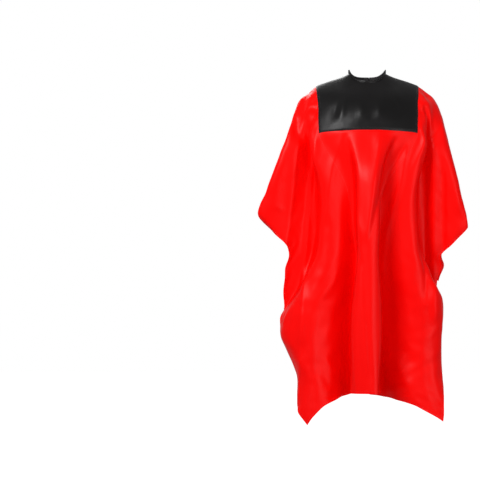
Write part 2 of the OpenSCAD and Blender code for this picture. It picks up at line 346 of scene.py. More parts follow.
def cut_sheet():
    """The flat cut as a grid that has a line on every seam, with the neck hole and the centre
    back opening: its points as column and length, its faces, their panels, and the hole's rim."""
    columns = (spaced(-half_wide, -yoke_half) + spaced(-yoke_half, 0) + spaced(0, yoke_half)
               + spaced(yoke_half, half_wide) + [half_wide])
    rows = (spaced(-back_long, yoke_back) + spaced(yoke_back, throat_cut)
            + spaced(throat_cut, yoke_low) + spaced(yoke_low, front_long) + [front_long])
    nx = len(columns)
    middle = min(range(nx), key=lambda k: abs(columns[k]))
    points = [[u, v] for v in rows for u in columns]
    reach = [math.hypot(u / neck_wide, v / neck_deep) for u, v in points]
    faces, panels, twins = [], [], {}
    for j in range(len(rows) - 1):
        for i in range(nx - 1):
            quad = [j * nx + i, j * nx + i + 1, (j + 1) * nx + i + 1, (j + 1) * nx + i]
            if min(reach[k] for k in quad) < 0.86:
                continue
            u, v = (columns[i] + columns[i + 1]) / 2, (rows[j] + rows[j + 1]) / 2
            if abs(u) > yoke_half:
                panel = "side_left" if u > 0 else "side_right"
            elif v < yoke_back:
                panel = "back_left" if u > 0 else "back_right"
            else:
                panel = "yoke" if v < yoke_low else "front"
            if panel == "back_left":
                for n, k in enumerate(quad):
                    if k % nx == middle and rows[k // nx] < -0.05:
                        if k not in twins:
                            twins[k] = len(points)
                            points.append(list(points[k]))
                        quad[n] = twins[k]
            faces.append(quad)
            panels.append(PANELS.index(panel))
    for right, left in twins.items():
        points[right][0] -= 0.004
        points[left][0] += 0.004
    used = sorted({k for quad in faces for k in quad})
    place = {k: n for n, k in enumerate(used)}
    points = np.array([points[k] for k in used])
    faces = [[place[k] for k in quad] for quad in faces]
    edges = edge_uses(faces)
    reach = np.hypot(points[:, 0] / neck_wide, points[:, 1] / neck_deep)
    rim = sorted({k for e, uses in edges.items() if uses == 1 for k in e if reach[k] < 1.6})
    points[rim] /= reach[rim][:, None]
    return points, faces, panels, rim


def flared(points):
    """The grid as the cloth is cut: the front widens towards its hem."""
    u, v = points[:, 0], points[:, 1]
    more = front_flare * np.clip((v - yoke_low) / (front_long - yoke_low), 0, 1)
    inner = np.abs(u) <= yoke_half
    wide = np.where(inner, np.abs(u) * (1 + more / yoke_half),
                    half_wide - (half_wide - np.abs(u)) * (half_wide - yoke_half - more)
                    / (half_wide - yoke_half))
    return np.stack([np.sign(u) * wide, v], axis=1)


ripple_count, ripple_turn = 10, -math.pi / 2
hang_slope = math.radians(63)
ripple_share = 0.8
flat_round = 0.24
drape_frames = 110


def in_yoke(grid):
    """Which of the grid's points are in the double yoke."""
    return ((np.abs(grid[:, 0]) <= yoke_half + 1e-6) & (grid[:, 1] >= yoke_back - 1e-6)
            & (grid[:, 1] <= yoke_low + 1e-6))


def started(flat):
    """Where a point of the flat cut starts from: a rippled cone round the neck."""
    x, y = flat[0], -flat[1]
    far, angle = math.hypot(x, y), math.atan2(y, x)
    if far <= flat_round:
        return np.array([x, y, 0.02 + 0.01 * math.exp(-(far / 0.12) ** 2)])
    reach = flat_round + (far - flat_round) * math.cos(hang_slope)
    deep = reach * math.sqrt(2 * ((far / reach) ** 2 - 1)) / ripple_count * ripple_share
    reach += deep * min(1, (far - flat_round) / 0.15) * math.sin(ripple_count * angle + ripple_turn)
    return np.array([reach * math.cos(angle), reach * math.sin(angle),
                     0.02 - (far - flat_round) * math.sin(hang_slope)])


def drape_sheet(points, flat, faces, rim):
    """Hangs the flat cut by its neck hole over the wearer's form and lets it fall."""
    start = [started(place) for place in flat]
    for k in rim:
        turn = math.atan2(-points[k, 1] / neck_deep, points[k, 0] / neck_wide)
        x, y = held_r * math.cos(turn), held_r * math.sin(turn)
        start[k] = np.array([x, y, held_height(x, y)])
    cloth = put("cape_cloth", mesh_of("cape_cloth", start, faces))
    cloth.shape_key_add(name="Basis")
    rest = cloth.shape_key_add(name="Flat")
    for k, (u, v) in enumerate(flat):
        rest.data[k].co = (u, -v, 0)
    rest.value = 0
    pins = cloth.vertex_groups.new(name="held")
    pins.add([int(k) for k in rim], 1.0, "REPLACE")
    double = cloth.vertex_groups.new(name="double")
    double.add([int(k) for k in np.flatnonzero(in_yoke(points))], 1.0, "REPLACE")
    drape = cloth.modifiers.new("drape", "CLOTH")
    cloth_kind = drape.settings
    cloth_kind.quality, cloth_kind.mass, cloth_kind.air_damping = 7, 0.02, 1.5
    cloth_kind.tension_stiffness = cloth_kind.compression_stiffness = 25
    cloth_kind.shear_stiffness, cloth_kind.bending_stiffness = 6, 0.05
    cloth_kind.vertex_group_bending, cloth_kind.bending_stiffness_max = "double", 0.5
    cloth_kind.tension_damping = cloth_kind.compression_damping = cloth_kind.shear_damping = 5
    cloth_kind.bending_damping = 0.5
    cloth_kind.vertex_group_mass, cloth_kind.pin_stiffness = "held", 1
    cloth_kind.rest_shape_key = rest
    touch = drape.collision_settings
    touch.distance_min, touch.collision_quality = 0.004, 3
    touch.use_self_collision, touch.self_distance_min = True, 0.004
    drape.point_cache.frame_start, drape.point_cache.frame_end = 1, drape_frames
    studio.frame_start, studio.frame_end = 1, drape_frames
    form = wearer_form()
    for step in range(1, drape_frames + 1):
        studio.frame_set(step)
    hung = cloth.evaluated_get(bpy.context.evaluated_depsgraph_get()).to_mesh()
    hung = np.array([tuple(v.co) for v in hung.vertices])
    studio.frame_set(1)
    for leftover in (cloth, form):
        bpy.data.objects.remove(leftover)
    return hung


cut_points, cut_faces, cut_panels, neck_rim = cut_sheet()
cut_flat = flared(cut_points)
hung = drape_sheet(cut_points, cut_flat, cut_faces, neck_rim)

# The draped cloth is pressed flat in front as a hung cape is, and its outline brought to the
# cape's widths: height, and how far the cloth reaches to the wearer's right and left.
HANGING_WIDTHS = (
    (0.03, 0.157, 0.150), (0.0, 0.157, 0.150), (-0.014, 0.178, 0.171), (-0.048, 0.219, 0.220),
    (-0.102, 0.246, 0.257), (-0.18, 0.282, 0.281), (-0.282, 0.319, 0.308), (-0.384, 0.357, 0.332),
    (-0.456, 0.383, 0.352), (-0.486, 0.345, 0.354), (-0.545, 0.290, 0.304),
    (-0.618, 0.286, 0.285), (-0.668, 0.288, 0.254), (-0.81, 0.297, 0.258),
    (-0.86, 0.300, 0.250), (-0.94, 0.262, 0.250), (-0.994, 0.240, 0.252), (-1.12, 0.240, 0.259),
    (-1.17, 0.205, 0.252),
)
lean_back = 0.12
even_rows, even_spread = 15, 6.5
front_reach, back_reach, press_from = 0.262, 0.212, 0.7
level_step, broad_levels, broad_spread = 0.01, 24, 11
yoke_ease = 0.24
foot_r, foot_lap, foot_ease = 0.0642, 0.002, 0.04
# Height of the front hem at the middle, and at even steps of the cut's width towards each corner
HEM_HEIGHTS = {
    -1: (-1.050, -1.050, -1.052, -1.054, -1.057, -1.062, -1.090, -1.158),
    1: (-1.050, -1.050, -1.054, -1.058, -1.062, -1.070, -1.090, -1.146),
}


def eased_step(low, high, value):
    """From 0 at low to 1 at high, starting and ending softly."""
    t = np.clip((value - low) / (high - low), 0, 1)
    return t * t * (3 - 2 * t)


def bell(count, spread):
    """Weights of a smooth average over this many neighbours on either side."""
    weights = np.exp(-(np.arange(-count, count + 1) / spread) ** 2)
    return weights / weights.sum()


def straightened(values, u, v):
    """Evens the middle of the front along its length, so that its folds hang straight."""
    strands = np.round(u, 4)
    below = v > yoke_low - 1e-6
    for strand in np.unique(strands[below]):
        line = np.flatnonzero((strands == strand) & below)
        line = line[np.argsort(v[line])]
        here = values[line]
        longer = np.concatenate([2 * here[0] - here[even_rows:0:-1], here,
                                 2 * here[-1] - here[-2:-even_rows - 2:-1]])
        even = np.convolve(longer, bell(even_rows, even_spread), mode="valid")
        values[line] += (1 - eased_step(0.20, 0.38, abs(strand))) * (even - here)


def hem_raised(u, v, z):
    """The heights with the front hem at its own, and less of the change further up."""
    hem = v > front_long - 1e-6
    order = np.argsort(u[hem])
    hem_u, hem_z = u[hem][order], z[hem][order]
    places = np.linspace(0, half_wide, len(HEM_HEIGHTS[1]))
    aim = np.where(hem_u < 0, np.interp(-hem_u, places, HEM_HEIGHTS[-1]),
                   np.interp(hem_u, places, HEM_HEIGHTS[1]))
    share = np.clip((v - yoke_low) / (front_long - yoke_low), 0, 1) ** 1.6
    return z + np.interp(u, hem_u, aim - hem_z) * share


def pressed(out, reach):
    """Distances out from the wearer, with those past most of the reach drawn in to end at it."""
    limit = press_from * reach
    deep = max(reach, out.max())
    return np.where(out > limit, limit + (out - limit) * (reach - limit) / (deep - limit), out)


def outlined(x, z, free):
    """The cloth across, with its edges at the hanging widths. The folds inside take a smooth
    share of the change, and the rest is kept near the edge."""
    levels = np.arange(-1.18, 0.04, level_step)
    widths = np.array(HANGING_WIDTHS)[::-1]
    for side, column in ((-1, 1), (1, 2)):
        reach = np.array([np.max(np.where(np.abs(z - level) < 0.025, side * x, 0.02))
                          for level in levels])
        reach = np.convolve(np.pad(reach, 2, mode="edge"), [0.1, 0.2, 0.4, 0.2, 0.1], mode="valid")
        gap = np.interp(levels, widths[:, 0], widths[:, column]) - reach
        broad = np.convolve(np.pad(gap, broad_levels, mode="edge"),
                            bell(broad_levels, broad_spread), mode="valid")
        edge = np.interp(z, levels, reach)
        inner = np.interp(z, [-0.6, -0.2], [0.0, 0.17])
        share = np.clip((side * x - inner) / np.maximum(edge - inner, 0.01), 0, 1.05)
        x = x + side * free * (np.interp(z, levels, broad) * share
                               + np.interp(z, levels, gap - broad) * share ** 5)
    return x


def yoke_formed(points, cut, yoke):
    """The points with the yoke on its form, and the cloth round it eased after it."""
    moved = np.zeros_like(points)
    moved[yoke] = [on_yoke(*place) for place in cut[yoke]] - points[yoke]
    nearest = cut_tree(cut[yoke], np.flatnonzero(yoke))
    for k in np.flatnonzero(~yoke):
        found = nearest.find_n((*cut[k], 0), 5)
        share = np.array([1 / (d + 0.004) ** 3 for _, _, d in found])
        share *= (1 - eased_step(0, yoke_ease, found[0][2])) / share.sum()
        moved[k] = share @ moved[[n for _, n, _ in found]]
    return points + moved


def sewn_to_collar(points, cut):
    """The points with the neck hole's rim on the collar's foot."""
    rim = cut_tree(cut[neck_rim], neck_rim)
    lift = {}
    for k in neck_rim:
        turn = math.atan2(points[k][1], points[k][0])
        x, y = foot_r * math.cos(turn), foot_r * math.sin(turn)
        lift[k] = np.array([x, y, collar_edges(x, y >= 0)[0] + foot_lap]) - points[k]
    for k in range(len(points)):
        _, nearest_rim, away = rim.find((*cut[k], 0))
        points[k] += lift[nearest_rim] * (1 - eased_step(0, foot_ease, away))
    return points


def settled(points, cut):
    """The draped points with the front hung straighter and the outline at its own widths."""
    x, y, z = points.T.copy()
    u, v = cut.T
    yoke = in_yoke(cut)
    down = eased_step(-0.16, -0.5, z) * 0.35 + eased_step(-0.3, -1.1, z) * 0.65
    y = y + lean_back * down * eased_step(0, -0.16, y)
    straightened(x, u, v)
    straightened(y, u, v)
    z = hem_raised(u, v, z)
    y = np.where(yoke, y, -pressed(-y, front_reach))
    y = pressed(y, back_reach)
    x = outlined(x, z, ~yoke)
    return sewn_to_collar(yoke_formed(np.stack([x, y, z], axis=1), cut, yoke), cut)


hung = settled(hung, cut_points)


def finer(points, levels=2):
    """The cut's grid with these places for its points, each quad split into four, levels times,
    and turned to face outwards."""
    rough = put("rough", mesh_of("rough", points, cut_faces))
    rough.data.polygons.foreach_set("material_index", cut_panels)
    split = rough.modifiers.new("split", "SUBSURF")
    split.levels = split.render_levels = levels
    split.boundary_smooth = "PRESERVE_CORNERS"
    fine = rough.evaluated_get(bpy.context.evaluated_depsgraph_get()).to_mesh()
    places = np.empty(len(fine.vertices) * 3)
    fine.vertices.foreach_get("co", places)
    corners = np.empty(len(fine.loops), int)
    fine.loops.foreach_get("vertex_index", corners)
    panels = np.empty(len(fine.polygons), int)
    fine.polygons.foreach_get("material_index", panels)
    bpy.data.objects.remove(rough)
    return places.reshape(-1, 3), corners.reshape(-1, 4)[:, ::-1], panels


cloth_points, cloth_quads, cloth_panels = finer(hung)
cloth_cut = finer(np.column_stack([cut_flat, np.zeros(len(cut_flat))]))[0][:, :2]


def normals_of(points, quads):
    """Each point's direction out of the cloth."""
    across = points[quads[:, 2]] - points[quads[:, 0]]
    down = points[quads[:, 3]] - points[quads[:, 1]]
    face = np.cross(across, down)
    found = np.zeros_like(points)
    for corner in range(4):
        np.add.at(found, quads[:, corner], face)
    return found / np.maximum(np.linalg.norm(found, axis=1), 1e-12)[:, None]


# Creases left from folding and hanging, as lines on the front: points across and up, then how
# wide and how high the crease stands. A negative height is a valley.
CREASES = (
    (((-0.173, -0.17), (-0.19, -0.323), (-0.204, -0.513), (-0.215, -0.649), (-0.225, -0.833),
      (-0.23, -0.983), (-0.238, -1.119)), 0.010, 0.0045),
    (((-0.224, -0.085), (-0.231, -0.163), (-0.248, -0.286), (-0.258, -0.394), (-0.27, -0.496),
      (-0.279, -0.554), (-0.299, -0.86)), 0.016, 0.006),
    (((-0.316, -0.422), (-0.269, -0.445)), 0.010, 0.004),
    (((-0.083, -0.168), (-0.117, -0.279), (-0.139, -0.394), (-0.1445, -0.496)), 0.016, 0.006),
    (((0.041, -0.168), (0.024, -0.286), (0.01, -0.408), (-0.01, -0.561)), 0.015, 0.007),
    (((-0.044, -0.442), (-0.018, -0.551)), 0.009, 0.003),
    (((-0.022, -0.619), (-0.014, -0.711), (-0.007, -0.826), (0.003, -1.037)), 0.008, -0.003),
    (((-0.071, -0.459), (-0.024, -0.643)), 0.009, -0.003),
    (((0.136, -0.201), (0.068, -0.309), (0.02, -0.442), (-0.007, -0.561)), 0.012, -0.005),
    (((0.136, -0.201), (0.102, -0.377), (0.061, -0.51), (0.051, -0.602), (0.048, -0.694)),
     0.012, 0.005),
    (((0.192, -0.272), (0.194, -0.5), (0.197, -0.758)), 0.016, -0.010),
    (((0.224, -0.078), (0.224, -0.45), (0.224, -0.833)), 0.014, 0.007),
    (((0.252, -0.272), (0.255, -0.632)), 0.014, -0.008),
    (((0.291, -0.309), (0.313, -0.466)), 0.014, 0.005),
)
YOKE_CREASES = (
    (((-0.092, -0.02), (-0.126, -0.152)), 0.012, -0.006),
    (((-0.068, -0.014), (-0.099, -0.152)), 0.010, 0.006),
    (((0.037, -0.014), (0.037, -0.15)), 0.012, 0.005),
    (((0.075, -0.024), (0.126, -0.116)), 0.008, -0.005),
    (((0.007, -0.12), (0.005, -0.150)), 0.012, -0.005),
    (((-0.03, -0.02), (-0.02, -0.15)), 0.016, 0.004),
)


def creased(points, lines):
    """How far the creases move each point out, seen from the front."""
    flat = points[:, [0, 2]]
    rise = np.zeros(len(points))
    for line, wide, high in lines:
        line = np.array(line)
        ends = [np.linalg.norm(flat - line[k], axis=1) for k in (0, -1)]
        away = np.full(len(points), 9.0)
        for a, b in zip(line[:-1], line[1:]):
            share = np.clip((flat - a) @ (b - a) / ((b - a) @ (b - a)), 0, 1)
            away = np.minimum(away, np.linalg.norm(flat - a - share[:, None] * (b - a), axis=1))
        fade = np.minimum(eased_step(0, 0.05, ends[0]) * 0.6 + 0.4, eased_step(0, 0.06, ends[1]))
        rise += high * fade * np.exp(-(away / wide) ** 1.6)
    return rise


cloth_normals = normals_of(cloth_points, cloth_quads)
in_front = (eased_step(0.15, 0.5, -cloth_normals[:, 1]) * eased_step(0.1, 0.2, cloth_cut[:, 1])
            * (cloth_points[:, 1] < 0))
yoke_quads = cloth_quads[cloth_panels == PANELS.index("yoke")]
on_satin = np.zeros(len(cloth_points), bool)
on_satin[yoke_quads] = True
lift = np.where(on_satin, creased(cloth_points, YOKE_CREASES), creased(cloth_points, CREASES))
cloth_points = cloth_points + cloth_normals * (lift * in_front)[:, None]
cloth_normals = normals_of(cloth_points, cloth_quads)


# ---------- the cloth's finishes ----------
# Polyester satin in black for the yoke and collar, and a plainer, smoother red polyester for the
# panels: a fine plain weave, a soft sheen and faint crumples.
thread_pitch = 0.0007


def fabric(name, base, deeper, rough, sheen, weave, crumple, shine=0.3):
    """A woven cloth between two close tones, rough from one value to another."""
    made, shader = new_material(name, {
        "Specular IOR Level": shine, "Sheen Weight": sheen, "Sheen Roughness": 0.4,
        "Sheen Tint": base})
    nodes, links = made.node_tree.nodes, made.node_tree.links
    tone = texture(made, "ShaderNodeTexNoise", {"Scale": 7, "Detail": 3})
    tinted(made, shader, tone.outputs["Fac"], (0.35, deeper), (0.65, base))
    polish = nodes.new("ShaderNodeMapRange")
    polish.inputs["To Min"].default_value, polish.inputs["To Max"].default_value = rough
    links.new(tone.outputs["Fac"], polish.inputs["Value"])
    links.new(polish.outputs["Result"], shader.inputs["Roughness"])
    cut_map = nodes.new("ShaderNodeUVMap")
    cut_map.uv_map = "cut"
    crossed = nodes.new("ShaderNodeMath")
    crossed.operation = "MAXIMUM"
    for k, direction in enumerate(("X", "Y")):
        wave = nodes.new("ShaderNodeTexWave")
        wave.bands_direction = direction
        wave.inputs["Scale"].default_value = 2 * math.pi / thread_pitch / 20
        links.new(cut_map.outputs["UV"], wave.inputs["Vector"])
        links.new(wave.outputs["Fac"], crossed.inputs[k])
    woven = raised(made, crossed.outputs["Value"], weave, 0.0001)
    crumples = texture(made, "ShaderNodeTexNoise",
                       {"Scale": 16, "Detail": 4, "Roughness": 0.45, "Distortion": 0.6})
    links.new(raised(made, crumples.outputs["Fac"], crumple, 0.006, woven),
              shader.inputs["Normal"])
    return made


red_polyester = fabric("red_polyester", colour("#ff0301"), colour("#fa0201"), (0.30, 0.40), 0.0,
                       0.2, 0.1, shine=0.1)
black_satin = fabric("black_satin", colour("#121011"), colour("#0d0c0c"), (0.31, 0.41), 0.03,
                     0.2, 0.2, shine=0.2)
black_lining = fabric("black_lining", colour("#232124"), colour("#1d1b1e"), (0.45, 0.6), 0.2,
                      0.3, 0.3)


# ---------- the red panels ----------
# Front, two sides and two halves of the back, each cut from one layer. Free edges are turned in
# twice and stitched down; the sewn edges meet in flat seams.
hem_width, hem_drop = 0.0105, 0.0011
cloth_wall = 0.0006

cloth_uses = edge_uses(cloth_quads.tolist())
rim_reach = np.hypot(cloth_cut[:, 0] / neck_wide, cloth_cut[:, 1] / neck_deep)
free_edges = {e for e, uses in cloth_uses.items() if uses == 1 and rim_reach[e[0]] > 1.2}
from_slit = np.where(cloth_cut[:, 1] < -0.09, np.abs(cloth_cut[:, 0]) - 0.004, 9)
from_hem = np.minimum.reduce([half_wide - np.abs(cloth_cut[:, 0]), front_long - cloth_cut[:, 1],
                              cloth_cut[:, 1] + back_long, from_slit])


def cut_map_of(mesh, cuts):
    """Keeps each point's place on the flat cut as the piece's own map, in metres."""
    layer = mesh.uv_layers.new(name="cut")
    corners = np.empty(len(mesh.loops), int)
    mesh.loops.foreach_get("vertex_index", corners)
    layer.data.foreach_set("uv", np.asarray(cuts, float)[corners].ravel())


def walled(piece, thickness, offset=-1.0):
    """Gives a sheet its thickness, inwards from its face, with crisp edges."""
    wall = piece.modifiers.new("wall", "SOLIDIFY")
    wall.thickness, wall.offset = thickness, offset
    wall.use_even_offset = False
    made = bpy.data.meshes.new_from_object(
        piece.evaluated_get(bpy.context.evaluated_depsgraph_get()))
    piece.modifiers.clear()
    made.name = piece.name
    made.set_sharp_from_angle(angle=math.radians(55))
    piece.data = made
    return piece


def panel_piece(name, panel, material, hemmed=True, raise_by=0.0):
    """One panel of the draped cloth as its own open mesh, with its free edges turned in."""
    quads = cloth_quads[cloth_panels == PANELS.index(panel)]
    used = np.unique(quads)
    place = np.full(len(cloth_points), -1)
    place[used] = np.arange(len(used))
    normals = cloth_normals[used]
    points = cloth_points[used] + normals * raise_by
    cuts = cloth_cut[used]
    faces = place[quads].tolist()
    if hemmed:
        turned = [q for q in faces if from_hem[used[q]].mean() < hem_width]
        folded = sorted({k for q in turned for k in q})
        twins = {k: len(points) + n for n, k in enumerate(folded)}
        drop = np.where(from_hem[used[folded]] > 0.7 * hem_width, 0.75, 1) * hem_drop
        points = np.concatenate([points, points[folded] - normals[folded] * drop[:, None]])
        cuts = np.concatenate([cuts, cuts[folded]])
        extra = []
        for q in turned:
            extra.append([twins[k] for k in reversed(q)])
            for a, b in zip(q, q[1:] + q[:1]):
                if (min(used[a], used[b]), max(used[a], used[b])) in free_edges:
                    extra.append([b, a, twins[a], twins[b]])
        faces = faces + extra
    mesh = mesh_of(name, points, faces)
    cut_map_of(mesh, cuts)
    return put(name, mesh, material)


side_area = ((half_wide - yoke_half) * (front_long + back_long)
             - front_flare * (front_long - yoke_low) / 2)
for name, panel, node, flat, area in (
    ("front_cloth", "front", "front_panel",
     (2 * (yoke_half + front_flare), front_long - yoke_low),
     (2 * yoke_half + front_flare) * (front_long - yoke_low)),
    ("side_cloth_left", "side_left", "side_panel_left",
     (half_wide - yoke_half, front_long + back_long), side_area),
    ("side_cloth_right", "side_right", "side_panel_right",
     (half_wide - yoke_half, front_long + back_long), side_area),
    ("back_cloth_left", "back_left", "back_panel_left", (yoke_half, back_long + yoke_back), None),
    ("back_cloth_right", "back_right", "back_panel_right",
     (yoke_half, back_long + yoke_back), None),
):
    cloth = walled(panel_piece(name, panel, red_polyester), cloth_wall)
    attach(cloth, "cape")
    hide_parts(node)


# ---------- the yoke ----------
# A double yoke of heavier black satin over chest and shoulders: a face, with its edges turned
# under and lying on the red cloth, and a lining of the same shape beneath.
yoke_lift, lining_drop, edge_drop = 0.0016, 0.0012, 0.0011
yoke_wall, lining_wall = 0.0009, 0.0006
face = panel_piece("yoke_face", "yoke", black_satin, hemmed=False, raise_by=yoke_lift)
yoke_used = np.unique(yoke_quads)
yoke_rim = {k for e, uses in edge_uses(yoke_quads.tolist()).items() if uses == 1 for k in e}
for n, k in enumerate(yoke_used):
    if k in yoke_rim and rim_reach[k] > 1.15:
        face.data.vertices[n].co -= Vector(cloth_normals[k]) * edge_drop
walled(face, yoke_wall)
lining = walled(panel_piece("yoke_underside", "yoke", black_lining, hemmed=False,
                            raise_by=-lining_drop), lining_wall)
for cloth, node, wear in ((face, "yoke_outer", "yoke_satin"),
                          (lining, "yoke_lining", "yoke_lining")):
    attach(cloth, "cape")
    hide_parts(node)


# ---------- stitching in the cloth ----------
# Lockstitch rows of polyester thread: one inside every hem, and a row just outside each seam, where
# it holds the turned edge. Each visible stitch is a small rounded length of thread.
def polyester_thread(name, tint):
    """A twisted sewing thread."""
    made, shader = new_material(name, {"Roughness": 0.5, "Sheen Weight": 0.3})
    ply = texture(made, "ShaderNodeTexNoise", {"Scale": 900})
    tinted(made, shader, ply.outputs["Fac"], (0, [c * 0.8 for c in tint[:3]] + [1]), (1, tint))
    made.node_tree.links.new(raised(made, ply.outputs["Fac"], 0.4, 0.0001),
                             shader.inputs["Normal"])
    return made


red_thread = polyester_thread("red_thread", colour("#e60a08"))
black_thread = polyester_thread("black_thread", colour("#2e2c2f"))


def stitch_tree():
    """Geometry Nodes that set a stitch at every pitch along the rows of a mesh of edges."""
    tree = bpy.data.node_groups.new("stitch_rows", "GeometryNodeTree")
    face = tree.interface
    face.new_socket("Geometry", in_out="INPUT", socket_type="NodeSocketGeometry")
    face.new_socket("Geometry", in_out="OUTPUT", socket_type="NodeSocketGeometry")
    for label, value in (("Pitch", 0.003), ("Stitch length", 0.0022), ("Thread radius", 0.0003)):
        socket = face.new_socket(label, in_out="INPUT", socket_type="NodeSocketFloat")
        socket.default_value = value
    face.new_socket("Thread", in_out="INPUT", socket_type="NodeSocketMaterial")
    add = tree.nodes.new
    given, result = add("NodeGroupInput"), add("NodeGroupOutput")
    rows = add("GeometryNodeMeshToCurve")
    spaced_rows = add("GeometryNodeResampleCurve")
    spaced_rows.mode = "LENGTH"
    turn = add("FunctionNodeAlignRotationToVector")
    turn.axis = "Z"
    stitch = add("GeometryNodeMeshUVSphere")
    stitch.inputs["Segments"].default_value, stitch.inputs["Rings"].default_value = 5, 4
    stitch.inputs["Radius"].default_value = 1
    half = add("ShaderNodeMath")
    half.operation = "MULTIPLY"
    half.inputs[1].default_value = 0.5
    size = add("ShaderNodeCombineXYZ")
    shaped = add("GeometryNodeTransform")
    points = add("GeometryNodeCurveToPoints")
    points.mode = "EVALUATED"
    placed = add("GeometryNodeInstanceOnPoints")
    real = add("GeometryNodeRealizeInstances")
    shaded = add("GeometryNodeSetMaterial")
    for source, output, target, entry in (
        (given, "Geometry", rows, "Mesh"),
        (rows, "Curve", spaced_rows, "Curve"),
        (given, "Pitch", spaced_rows, "Length"),
        (spaced_rows, "Curve", points, "Curve"),
        (points, "Points", placed, "Points"),
        (points, "Tangent", turn, "Vector"),
        (turn, "Rotation", placed, "Rotation"),
        (given, "Stitch length", half, 0),
        (given, "Thread radius", size, "X"),
        (given, "Thread radius", size, "Y"),
        (half, "Value", size, "Z"),
        (stitch, "Mesh", shaped, "Geometry"),
        (size, "Vector", shaped, "Scale"),
        (shaped, "Geometry", placed, "Instance"),
        (placed, "Instances", real, "Geometry"),
        (real, "Geometry", shaded, "Geometry"),
        (given, "Thread", shaded, "Material"),
        (shaded, "Geometry", result, "Geometry"),
    ):
        tree.links.new(source.outputs[output], target.inputs[entry])
    return tree


stitch_rows = stitch_tree()


def stitched(name, rows, thread, body="cape", pitch=0.0034, length=0.0026, radius=0.0003):
    """Sews rows of points as one piece."""
    points, edges = [], []
    for row in rows:
        edges += [(len(points) + k, len(points) + k + 1) for k in range(len(row) - 1)]
        points += [tuple(map(float, p)) for p in row]
    guide_mesh = bpy.data.meshes.new(name + "_rows")
    guide_mesh.from_pydata(points, edges, [])
    row_piece = bpy.data.objects.new(name + "_rows", guide_mesh)
    studio.collection.objects.link(row_piece)
    sewing = row_piece.modifiers.new("sewing", "NODES")
    sewing.node_group = stitch_rows
    wanted = {"Pitch": pitch, "Stitch length": length, "Thread radius": radius, "Thread": thread}
    for socket in stitch_rows.interface.items_tree:
        if socket.in_out == "INPUT" and socket.name in wanted:
            sewing[socket.identifier] = wanted[socket.name]
    bpy.context.view_layer.update()
    made = bpy.data.meshes.new_from_object(
        row_piece.evaluated_get(bpy.context.evaluated_depsgraph_get()))
    bpy.data.objects.remove(row_piece)
    made.name = name
    made.shade_smooth()
    piece = put(name, made)
    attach(piece, body)


panel_trees = {}


def on_panel_cloth(panel, u, v, rise):
    """Where a place on one panel's flat cut lies on the draped cape, raised off the cloth."""
    if panel not in panel_trees:
        used = np.unique(cloth_quads[cloth_panels == PANELS.index(panel)])
        panel_trees[panel] = cut_tree(cloth_cut[used], used)
    near = panel_trees[panel].find_n((u, v, 0), 4)
    share = np.array([1 / (d + 0.0004) ** 2 for _, _, d in near])
    share /= share.sum()
    found = [k for _, k, _ in near]
    return share @ cloth_points[found] + (share @ cloth_normals[found]) * rise


def cut_edge(u, v):
    """Where a grid place lies on the flat cut."""
    return flared(np.array([[u, v]]))[0]


def sewn_row(panel, start, end, inset, rise=0.0003, step=0.006):
    """A row across a panel between two grid places, moved in from them on the flat cut."""
    far = math.dist(start, end)
    count = max(2, round(far / step))
    row = []
    for k in range(count + 1):
        t = k / count
        u, v = cut_edge(start[0] + (end[0] - start[0]) * t, start[1] + (end[1] - start[1]) * t)
        row.append(on_panel_cloth(panel, u + inset[0], v + inset[1], rise))
    return row


hem_in = 0.0085
seam_in = 0.0022
hem_rows, seam_rows = [], []
for side, name in ((1, "left"), (-1, "right")):
    side_panel, back = "side_" + name, "back_" + name
    outer, seam = side * (half_wide - 1e-4), side * (yoke_half + 1e-4)
    trim = side * hem_in
    hem_rows += [
        sewn_row(side_panel, (outer, -back_long + hem_in), (outer, front_long - hem_in), (-trim, 0)),
        sewn_row(side_panel, (outer - trim, front_long), (seam, front_long), (0, -hem_in)),
        sewn_row(side_panel, (outer - trim, -back_long), (seam, -back_long), (0, hem_in)),
        sewn_row(back, (side * yoke_half, -back_long), (side * 0.013, -back_long), (0, hem_in)),
        sewn_row(back, (side * 0.0125, -back_long + hem_in), (side * 0.0125, -0.1), (0, 0)),
    ]
    seam_rows += [
        sewn_row(side_panel, (seam, -back_long + 0.002), (seam, yoke_back), (side * seam_in, 0)),
        sewn_row(side_panel, (seam, yoke_low), (seam, front_long - 0.002), (side * seam_in, 0)),
    ]
hem_rows.append(sewn_row("front", (-yoke_half, front_long), (yoke_half, front_long), (0, -hem_in)))
stitched("hem_stitching", hem_rows, red_thread)
stitched("seam_stitching", seam_rows, red_thread)

yoke_rows = []
for inset in (0.0025, 0.0085):
    x, low, back = yoke_half - inset, yoke_low - inset, yoke_back + inset
    lifted = yoke_lift + (0.0001 if inset > 0.005 else -0.0003)
    yoke_rows += [
        [on_panel_cloth("yoke", *cut_edge(-x + 2 * x * k / 60, low), lifted) for k in range(61)],
    ]
    for side in (-1, 1):
        yoke_rows += [
            [on_panel_cloth("yoke", *cut_edge(side * x, back + (low - back) * k / 48), lifted)
             for k in range(49)],
            [on_panel_cloth("yoke", *cut_edge(side * (x + (0.066 - x) * k / 20), back), lifted)
             for k in range(21)],
        ]
stitched("yoke_stitching", yoke_rows, black_thread)


# ---------- the collar ----------
# A low stand collar in three layers, a soft facing, a stiffener and an outer band of black satin,
# with its ends meeting in a slit just beside the centre back. The layers are pressed together
# along the edges and topstitched.
facing_wall, stiffener_wall, band_wall = 0.0014, 0.0008, 0.001
slit_from, slit_to = 0.008, 0.010
facing_r = neck_r + facing_wall
stiffener_r = facing_r + stiffener_wall
band_r = stiffener_r + band_wall


